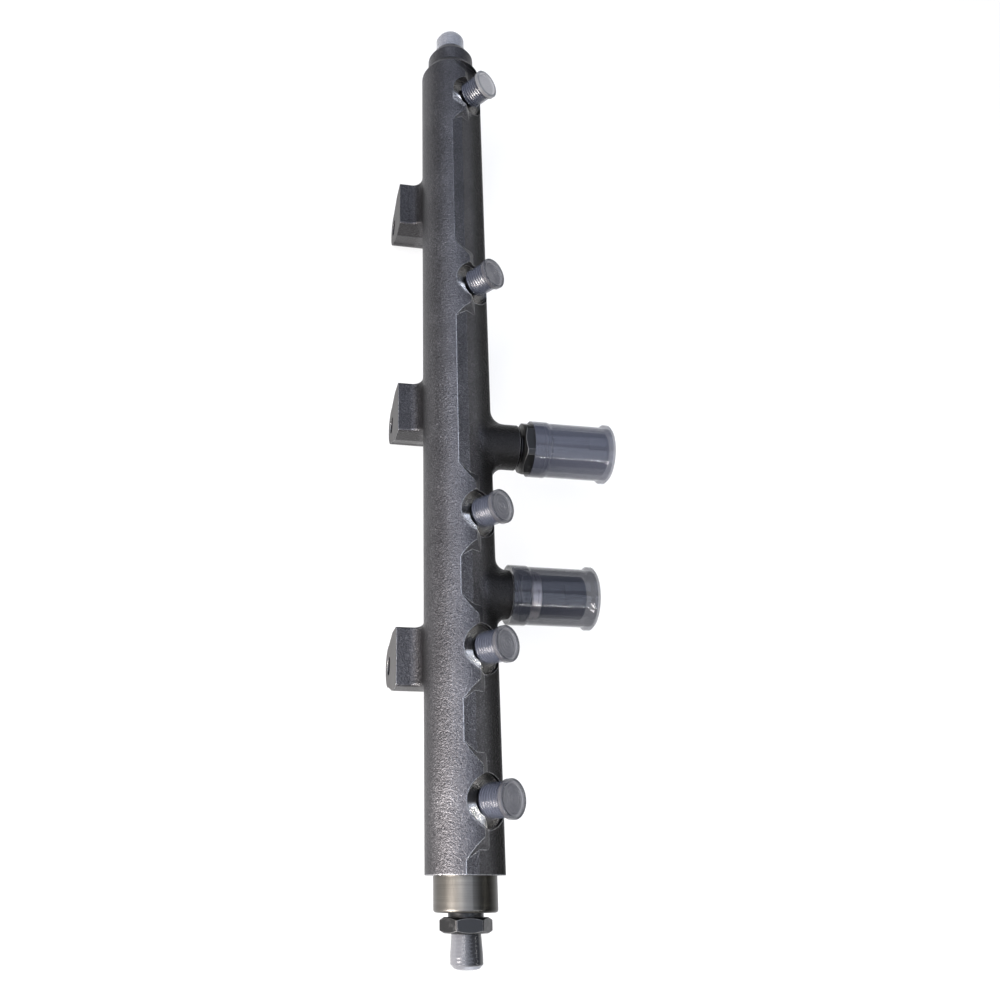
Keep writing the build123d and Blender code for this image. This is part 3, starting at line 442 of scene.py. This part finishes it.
def clear_plastic(name, tint, clear, dense, rough, wave, gloss=0.5, ribs=None, rib=0.0, dark=0.0,
                  end_tint=None, top_end_painted_light=None):
    """Thin moulded cap: tinted film, denser where it is seen on edge, pressed out over the thread's crests.

    clear and dense are the alpha seen square on and on edge, wave the dents in millimetres, ribs what finds
    the crests and the closed end, rib how far the crests press out, dark how much the lower caps deepen.
    """
    clouded, crest_glint_paint, lower_down, lower_left = 0.86, 2.4, 0.08, 0.34  # shares of the tint
    closed_alpha, crest_alpha, lower_alpha, cloud_alpha = 0.85, 0.3, 0.6, 0.12
    crest_rise, ring_rise, fine_part, full_colour_rib = 0.9 * MM, 0.08 * MM, 0.1, 1 / 9
    p = Paint(name)
    y = p.axis(1)
    cloud = p.noise(scale=130.0, detail=3.0, rough=0.55)
    fine = p.noise(scale=600.0, detail=2.0, rough=0.5)
    dents = p.noise(scale=210.0, detail=2.0, rough=0.5)
    edge = p.node("ShaderNodeLayerWeight", {}, {"Blend": 0.4}, "Facing")
    lower = p.step(-y, *LOWER_THIRD) * dark
    alpha = p.span(edge, 0.0, 1.0, clear, dense) + (cloud - 0.5) * cloud_alpha
    height = dents * (wave * MM) + fine * (wave * fine_part * MM)
    colour = p.mix(cloud, tint, times(tint, clouded))
    if ribs:
        ridge, closed, rings, rim = ribs(p)
        crest = p.step(ridge, *CREST_TOP) * (1 - closed) * min(1.0, rib / full_colour_rib)
        height = height + ridge * (1 - closed) * (rib * crest_rise) + rings * closed * ring_rise
        alpha = alpha * (1 - closed) + closed * closed_alpha + crest * crest_alpha + lower * lower_alpha
        # painted highlight: the film over the thread crests painted lighter
        colour = p.mix(crest, colour, times(tint, crest_glint_paint))
    colour = p.mix(lower, colour, times(tint, lower_down))
    if ribs:
        end_clouded = times(end_tint, 0.7)
        end = p.mix(fine, end_tint, end_clouded)
        # painted light: the top nipple's cap end and its rim painted lighter
        if top_end_painted_light:
            top = p.step(y, *TOP_NIPPLE)
            end = p.mix(rim, p.mix(top, end, top_end_painted_light), p.mix(top, DISC_EDGE, TOP_DISC_EDGE_PAINTED_LIGHT))
        # painted highlight: the left side of the lower caps painted lighter
        left = 1 - p.step(p.axis(0) - AXIS_X, *CAP_HIGHLIGHT_SIDE)
        colour = p.mix(closed, colour, end)
        colour = p.mix(left * lower, colour, times(tint, lower_left))
    surface = p.shader(Base_Color=colour, Roughness=rough, Alpha=alpha.least(1.0).most(0.0), IOR=1.5,
                       Specular_IOR_Level=gloss, Normal=p.bump(height, depth=1.0, strength=0.9))
    return p.done(surface)


def nipple_ribs(p):
    """Crests under a side nipple's cap, and its closed end with its moulded rings and rim."""
    rise, off, _ = nearest_nipple(p)
    return (p.waves(rise, THREAD_PITCH), p.step(rise, *CAP_CLOSED), p.waves(off, length=1.7 * MM),
            p.step(off, *DISC_RIM))


def end_ribs(p):
    """Crests under the caps of the two end nipples, and their closed ends, which have no rim."""
    y = p.axis(1)
    crest = p.waves(y, THREAD_PITCH)
    return crest, p.step(y, *TOP_CAP_CLOSED).most(1 - p.step(y, *VALVE_CAP_CLOSED)), crest, None


def plastic(name, dark, light, rough):
    """Moulded nylon or rubber with a fine grain, between two shades."""
    p = Paint(name)
    grain = p.noise(scale=800.0, detail=2.0, rough=0.6)
    surface = p.shader(Base_Color=p.mix(grain, dark, light),
                       Roughness=p.span(grain, *NOISE_SPREAD, rough - 0.05, rough + 0.08),
                       Normal=p.bump(grain, depth=0.03 * MM, strength=0.5))
    return p.done(surface)


def copper_wire():
    """Enamelled winding, one ridge for each turn of wire."""
    p = Paint("copper_wire")
    turns = p.waves(p.axis(0), length=0.35 * MM)
    surface = p.shader(Base_Color=p.mix(p.noise(scale=900.0), *COPPER), Metallic=0.9, Roughness=0.3,
                       Normal=p.bump(turns, depth=0.1 * MM, strength=0.7))
    return p.done(surface)


def circuit_board():
    """Green board with raised tracks."""
    p = Paint("circuit_board")
    blocks = p.noise(scale=420.0, detail=0.0, rough=0.5, place=p.stretch((1.0, 1.0, 0.25)))
    tracks = p.step(blocks, *BOARD_TRACKS)
    surface = p.shader(Base_Color=p.mix(tracks, *BOARD), Roughness=0.35,
                       Normal=p.bump(tracks, depth=0.03 * MM, strength=0.6))
    return p.done(surface)


FINISHES = {
    "forging": forged_steel(),
    "clear_cap": clear_plastic("clear_cap_plastic", CLEAR_TINT, clear=0.1, dense=0.66, rough=0.2, wave=0.15,
                               gloss=0.35, ribs=nipple_ribs, rib=0.11, end_tint=DISC, top_end_painted_light=TOP_DISC_PAINTED_LIGHT),
    "milky_cap": clear_plastic("milky_cap_plastic", MILKY_TINT, clear=0.2, dense=0.95, rough=0.2, wave=0.1,
                               gloss=0.4, ribs=end_ribs, rib=0.02, dark=1.0, end_tint=MILKY_END),
    "smoke_cap": clear_plastic("smoke_cap_plastic", SMOKE_TINT, clear=0.3, dense=0.76, rough=0.1, wave=0.012,
                               dark=0.66),
    "black_steel": black_steel(),
    "bright_steel": turned_steel("zinc_steel", (0.42, 0.38, 0.38), (0.68, 0.64, 0.64), rough=0.3),
    "hard_steel": turned_steel("hard_steel", (0.38, 0.38, 0.39), (0.56, 0.56, 0.57), rough=0.25),
    "spring_steel": turned_steel("spring_wire", (0.25, 0.25, 0.26), (0.4, 0.4, 0.41), rough=0.3),
    "soft_steel": turned_steel("soft_steel", (0.42, 0.4, 0.37), (0.58, 0.56, 0.52), rough=0.35),
    "black_plug": plastic("plug_nylon", (0.018, 0.02, 0.024), (0.032, 0.034, 0.04), rough=0.35),
    "board": circuit_board(),
    "pins": turned_steel("plated_brass", (0.6, 0.45, 0.2), (0.8, 0.66, 0.36), rough=0.25),
    "seal_rubber": plastic("seal_rubber", (0.012, 0.012, 0.012), (0.022, 0.022, 0.022), rough=0.6),
    "bobbin": plastic("bobbin_nylon", (0.5, 0.47, 0.38), (0.62, 0.6, 0.5), rough=0.45),
    "copper": copper_wire(),
}
for row in frame["record"]["subparts"]:
    finish = FINISHES[row["material_slot"]]
    for slot in nodes[row["node"]].material_slots:
        slot.material = finish


# ---------------------------------------------------------------- modelling helpers
def clear_selection():
    if bpy.context.object and bpy.context.object.mode != "OBJECT":
        bpy.ops.object.mode_set(mode="OBJECT")
    bpy.ops.object.select_all(action="DESELECT")


def pick(piece):
    clear_selection()
    piece.select_set(True)
    bpy.context.view_layer.objects.active = piece


def settle(piece, name, base, direction):
    """Turn a piece modelled about +Z onto an axis, then fix its place in its mesh."""
    turn = direction.to_track_quat("Z", "Y").to_matrix().to_4x4()
    piece.data.transform(Matrix.Translation(base) @ turn)
    piece.name = name
    piece.data.name = name
    return piece


def wire_outline(outline):
    """A closed outline of (radius, height) points in the XZ plane, as an object of edges alone."""
    clear_selection()
    bpy.ops.mesh.primitive_plane_add(size=1.0, location=(0, 0, 0))
    piece = bpy.context.object
    bpy.ops.object.mode_set(mode="EDIT")
    bpy.ops.mesh.delete(type="VERT")
    bpy.ops.object.mode_set(mode="OBJECT")
    mesh = piece.data
    mesh.vertices.add(len(outline))
    for vertex, (radius, height) in zip(mesh.vertices, outline):
        vertex.co = (radius, 0, height)
    mesh.edges.add(len(outline))
    for n, edge in enumerate(mesh.edges):
        edge.vertices = (n, (n + 1) % len(outline))
    return piece


def thread(name, base, direction, nominal, start, end):
    """Helical crest of a metric fine thread on a plain nipple, run out at both ends."""
    crest = nominal / 2
    root = crest - THREAD_DEPTH
    middle = start + THREAD_PITCH / 2
    piece = wire_outline([(root, middle - ROOT_HALF), (crest, middle - CREST_HALF),
                          (crest, middle + CREST_HALF), (root, middle + ROOT_HALF)])
    screw = piece.modifiers.new("winding", "SCREW")
    screw.angle = 2 * math.pi
    screw.screw_offset = THREAD_PITCH
    screw.iterations = int((end - start) / THREAD_PITCH)
    screw.steps = screw.render_steps = THREAD_STEPS
    screw.use_merge_vertices = False
    pick(piece)
    bpy.ops.object.modifier_apply(modifier=screw.name)

    for vertex in piece.data.vertices:
        height = vertex.co.z
        radius = math.hypot(vertex.co.x, vertex.co.y)
        rise = min(1.0, max(0.0, (end - height) / RUN_OUT), max(0.0, (height - start) / RUN_IN))
        if rise < 1:
            share = min(radius, root + (crest - root) * rise) / radius
            vertex.co.x *= share
            vertex.co.y *= share

    pick(piece)
    bpy.ops.object.mode_set(mode="EDIT")
    bpy.ops.mesh.select_all(action="SELECT")
    bpy.ops.mesh.fill_holes(sides=4)
    bpy.ops.mesh.select_all(action="SELECT")
    bpy.ops.mesh.normals_make_consistent(inside=False)
    bpy.ops.object.mode_set(mode="OBJECT")
    bpy.ops.object.shade_smooth_by_angle(angle=SHARP_EDGE)
    return settle(piece, name, base, direction)


# ---------------------------------------------------------------- threads
steel_thread = turned_steel("thread_steel", (0.05, 0.052, 0.058), (0.11, 0.112, 0.12), rough=0.3)
side_thread = (PORT, NIPPLE_THREAD, NIPPLE_NECK_END, NIPPLE_TIP)
threads = [(f"outlet_{n + 1}_thread", RAIL + UP * y, *side_thread) for n, y in enumerate(OUTLET_YS)]
threads += [("inlet_thread", RAIL + UP * INLET_Y, *side_thread),
            ("end_nipple_thread", RAIL, UP, NIPPLE_THREAD, TOP_NECK_END, TOP_TIP),
            ("valve_thread", RAIL + UP * COLLAR_END, DOWN, VALVE_THREAD, VALVE_NECK_END, VALVE_TIP)]
for name, base, direction, nominal, start, end in threads:
    piece = thread(name, base, direction, nominal, start, end)
    piece.data.materials.append(FINISHES["black_steel"] if name == "valve_thread" else steel_thread)
    "black_steel" if name == "valve_thread" else "forging"
    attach(piece, MAIN)


# ---------------------------------------------------------------- floor
def pale_floor():
    """Pale to whatever looks at it, with the object's shadow on it, and dim in the light it sends back."""
    p = Paint("pale_floor")
    camera_ray, glossy_ray, transmission_ray = [p.node("ShaderNodeLightPath", {}, {}, kind) for kind in (
        "Is Camera Ray", "Is Glossy Ray", "Is Transmission Ray")]
    paper = p.node("ShaderNodeBsdfDiffuse", {}, {"Color": (0.2, 0.2, 0.2, 1.0)})
    glow = p.node("ShaderNodeEmission", {}, {"Color": (0.8, 0.8, 0.8, 1.0)})
    bounce = p.node("ShaderNodeBsdfDiffuse", {}, {"Color": (0.3, 0.29, 0.28, 1.0)})
    seen = p.node("ShaderNodeAddShader", {}, {0: paper, 1: glow})
    looked_at = camera_ray.most(glossy_ray).most(transmission_ray)
    return p.done(p.node("ShaderNodeMixShader", {}, {0: looked_at, 1: bounce, 2: seen}))


FLOOR_SIZE = 6.0
FLOOR_MIDDLE_X = 30.0 * MM
FLOOR_GAP = 0.2 * MM
floor_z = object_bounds()[0][2] - FLOOR_GAP
clear_selection()
bpy.ops.mesh.primitive_plane_add(size=FLOOR_SIZE, location=(FLOOR_MIDDLE_X, 0, floor_z))
floor = bpy.context.object
floor.name = "floor"
floor.data.materials.append(pale_floor())


# ---------------------------------------------------------------- light
def softbox(name, place, aim, size, power, shade):
    """A rectangular lamp at a place, turned to what it lights."""
    light = bpy.data.lights.new(name, "AREA")
    light.shape = "RECTANGLE"
    light.size, light.size_y = size
    light.energy = power
    light.color = shade
    lamp = bpy.data.objects.new(name, light)
    bpy.context.scene.collection.objects.link(lamp)
    lamp.location = place
    lamp.rotation_euler = (Vector(aim) - Vector(place)).to_track_quat("-Z", "Y").to_euler()


LAMPS = [  # name, place, aim, width and height, watts, colour
    ("ceiling", (-0.26, 0.05, 0.92), (-0.26, 0.05, 0.0), (0.85, 2.2), 15.0, (0.75, 0.82, 1.0)),
    ("room_lamp", (-0.52, 0.0, 0.86), (0.03, -0.2, 0.04), (0.5, 0.5), 5.0, (1.0, 0.97, 0.97)),
    ("key", (-0.42, -0.46, 0.24), (0.03, -0.12, 0.04), (0.3, 0.3), 10.0, (1.0, 0.94, 0.92)),
    ("front_window", (0.47, -0.57, 1.03), (0.09, -0.03, 0.03), (0.5, 0.9), 4.0, (0.76, 0.83, 1.0)),
    ("back_window", (0.45, 0.43, 1.0), (0.09, -0.03, 0.03), (0.4, 1.3), 2.7, (0.72, 0.8, 1.0)),
    ("tube_lamp", (0.42, -0.8, 0.6), (0.09, -0.06, 0.03), (0.6, 0.02), 2.4, (1.0, 1.0, 1.0)),
    ("bench_lamp", (0.68, 0.05, 0.4), (0.05, 0.0, 0.04), (0.8, 0.025), 0.9, (1.0, 1.0, 1.0)),
]
for lamp_row in LAMPS:
    softbox(*lamp_row)

# the room: dim all round, and white where the camera looks past the floor
ROOM_COLOUR = (0.92, 0.96, 1, 1)
ROOM_STRENGTH = 0.05
WHITE = (1, 1, 1, 1)
world = bpy.data.worlds.new("room")
world.use_nodes = True
bpy.context.scene.world = world
tree = world.node_tree
tree.nodes.clear()
room = tree.nodes.new("ShaderNodeBackground")
room.inputs["Color"].default_value = ROOM_COLOUR
room.inputs["Strength"].default_value = ROOM_STRENGTH
plain = tree.nodes.new("ShaderNodeBackground")
plain.inputs["Color"].default_value = WHITE
rays = tree.nodes.new("ShaderNodeLightPath")
blend = tree.nodes.new("ShaderNodeMixShader")
sheet = tree.nodes.new("ShaderNodeOutputWorld")
tree.links.new(rays.outputs["Is Camera Ray"], blend.inputs[0])
tree.links.new(room.outputs[0], blend.inputs[1])
tree.links.new(plain.outputs[0], blend.inputs[2])
tree.links.new(blend.outputs[0], sheet.inputs["Surface"])

# ---------------------------------------------------------------- camera
SENSOR_WIDTH = 36.0    # millimetres, as Blender takes both
FOCAL_LENGTH = 34.797
SHIFT = (0.0801, -0.0287)
CAMERA_RIGHT = Vector((0.98457717, -0.00107391, 0.17494756))
CAMERA_TOP = Vector((-0.06863718, 0.91743928, 0.39191083))
CAMERA_BACK = Vector((-0.16092464, -0.39787436, 0.90321606))
CAMERA_PLACE = Vector((-72.11, -247.42, 498.46)) * MM
lens = bpy.data.cameras.new("camera")
lens.sensor_width = SENSOR_WIDTH
lens.lens = FOCAL_LENGTH
lens.shift_x, lens.shift_y = SHIFT
camera = bpy.data.objects.new("camera", lens)
bpy.context.scene.collection.objects.link(camera)
turned = Matrix((CAMERA_RIGHT, CAMERA_TOP, CAMERA_BACK)).transposed().to_4x4()
camera.matrix_world = Matrix.Translation(CAMERA_PLACE) @ turned
bpy.context.scene.camera = camera
bpy.context.scene.view_settings.view_transform = "Standard"
